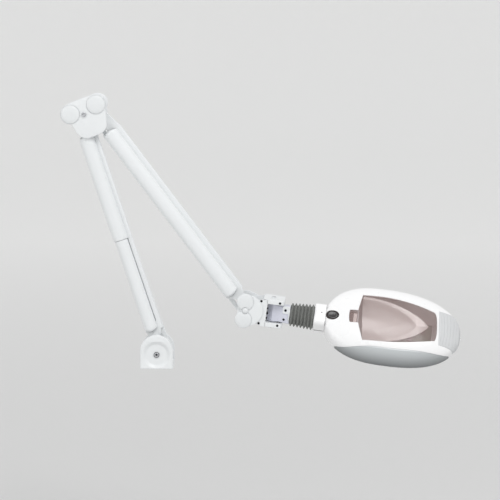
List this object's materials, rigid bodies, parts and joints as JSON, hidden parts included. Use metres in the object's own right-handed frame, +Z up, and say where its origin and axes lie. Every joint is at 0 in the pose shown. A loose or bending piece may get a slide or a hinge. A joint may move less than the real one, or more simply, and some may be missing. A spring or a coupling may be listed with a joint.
{
  "type": "dental operating light",
  "caption": "Lamp head with a reflector behind a tinted window on a fork and bellows neck, carried by two parallelogram arms on a swivelling hub.",
  "frame": {"origin": "centre of the flat end of the fixed spigot in the hub's foot, on the swivel axis", "axes": "+Z up along the swivel axis, +X towards the lamp head in the plane of the arms, -Y the front that the caps face"},
  "size_m": [0.7036, 0.1129, 0.4851],
  "materials": {
    "arm_paint": "satin",
    "cover_white": "satin",
    "head_white": "gloss",
    "cap_plastic": "satin",
    "block_paint": "satin",
    "steel": "satin",
    "dark_steel": "satin",
    "bronze": "satin",
    "bellows_rubber": "matte",
    "dark_rubber": "matte",
    "panel_metal": "satin",
    "grip_plastic": "matte",
    "tinted_window": "gloss",
    "mirror": "polished",
    "source_body": "matte",
    "aluminium": "satin",
    "board_green": "matte",
    "black_gloss": "gloss"
  },
  "bodies": {
    "mount": {"base_spigot": "steel", "spigot_bushing": "bronze", "lead_gland": "dark_rubber"},
    "base": {"hub_housing": "arm_paint", "hub_cover_front": "arm_paint", "hub_cover_back": "arm_paint", "hub_axle": "dark_steel", "hub_rod_pin": "steel"},
    "lower_arm": {"lower_arm_channel": "arm_paint", "lower_arm_cover_upper": "cover_white", "lower_arm_cover_lower": "cover_white", "lower_arm_spring": "steel"},
    "lower_rod": {"lower_tie_rod": "steel"},
    "elbow": {"elbow_plate_front": "arm_paint", "elbow_plate_back": "arm_paint", "elbow_cap_a": "cap_plastic", "elbow_cap_b": "cap_plastic", "elbow_screw": "steel", "elbow_pin_a": "steel", "elbow_pin_b": "steel", "elbow_rod_pin_lower": "steel", "elbow_rod_pin_upper": "steel"},
    "upper_arm": {"upper_arm_channel": "arm_paint", "upper_arm_cover": "cover_white", "upper_arm_spring": "steel"},
    "upper_rod": {"upper_tie_rod": "steel"},
    "wrist": {"wrist_bracket_front": "steel", "wrist_bracket_back": "steel", "wrist_pin": "steel", "wrist_rod_pin": "steel", "wrist_disc_front": "arm_paint", "wrist_disc_back": "arm_paint", "wrist_axle": "steel", "wrist_cap_upper": "cap_plastic", "wrist_cap_lower": "cap_plastic", "wrist_centre_cap": "cap_plastic"},
    "fork": {"fork": "arm_paint", "fork_screw_top_far": "dark_steel", "fork_screw_top_near": "dark_steel", "fork_screw_bottom_far": "dark_steel", "fork_screw_bottom_near": "dark_steel", "pan_pin": "steel"},
    "block": {"swivel_block": "block_paint", "roll_stem": "steel"},
    "head": {"bellows": "bellows_rubber", "neck_housing": "head_white", "roll_bearing": "bronze", "face_shell": "head_white", "back_shell": "head_white", "side_panel_upper": "panel_metal", "side_panel_lower": "panel_metal", "end_grip": "grip_plastic", "window_shield": "tinted_window", "reflector": "mirror", "light_source": "source_body", "heat_sink": "aluminium", "driver_board": "board_green", "button_bezel": "dark_rubber"},
    "button": {"power_button": "black_gloss"}
  },
  "joints": [
    {"name": "base_swivel", "type": "hinge", "parent": "mount", "child": "base", "pos_m": [0, 0, 0], "axis": [0, 0, 1], "range_deg": [-165, 165]},
    {"name": "lower_arm_tilt", "type": "hinge", "parent": "base", "child": "lower_arm", "pos_m": [0, 0, 0.025], "axis": [0, 1, 0], "range_deg": [-8, 35]},
    {"name": "lower_rod_pivot", "type": "hinge", "parent": "base", "child": "lower_rod", "pos_m": [0.024, 0, 0.025], "axis": [0, 1, 0], "range_deg": [-8, 35]},
    {"name": "elbow_level", "type": "hinge", "parent": "lower_arm", "child": "elbow", "pos_m": [-0.15021, 0, 0.44919], "axis": [0, 1, 0], "range_deg": [-35, 8]},
    {"name": "upper_arm_tilt", "type": "hinge", "parent": "elbow", "child": "upper_arm", "pos_m": [-0.10531, 0, 0.46669], "axis": [0, 1, 0], "range_deg": [-75, 8]},
    {"name": "upper_rod_pivot", "type": "hinge", "parent": "elbow", "child": "upper_rod", "pos_m": [-0.10901, 0, 0.43589], "axis": [0, 1, 0], "range_deg": [-75, 8]},
    {"name": "wrist_level", "type": "hinge", "parent": "upper_arm", "child": "wrist", "pos_m": [0.15708, 0, 0.11974], "axis": [0, 1, 0], "range_deg": [-8, 75]},
    {"name": "head_tilt", "type": "hinge", "parent": "wrist", "child": "fork", "pos_m": [0.15678, 0, 0.10504], "axis": [0, 1, 0], "range_deg": [-45, 60]},
    {"name": "head_pan", "type": "hinge", "parent": "fork", "child": "block", "pos_m": [0.20341, 0, 0.09912], "axis": [0.126, 0, 0.992], "range_deg": [-45, 45]},
    {"name": "head_roll", "type": "hinge", "parent": "block", "child": "head", "pos_m": [0.15678, 0, 0.10504], "axis": [0.992, 0, -0.126], "range_deg": [-60, 60]},
    {"name": "button_press", "type": "slide", "parent": "head", "child": "button", "axis": [-0.0758, 0.7986, -0.597], "range_m": [0, 0.0012], "stiffness_N_per_m": 900}
  ],
  "couplings": [
    {"joint": "lower_rod_pivot", "follows": "lower_arm_tilt", "ratio": 1},
    {"joint": "elbow_level", "follows": "lower_arm_tilt", "ratio": -1},
    {"joint": "upper_rod_pivot", "follows": "upper_arm_tilt", "ratio": 1},
    {"joint": "wrist_level", "follows": "upper_arm_tilt", "ratio": -1}
  ]
}
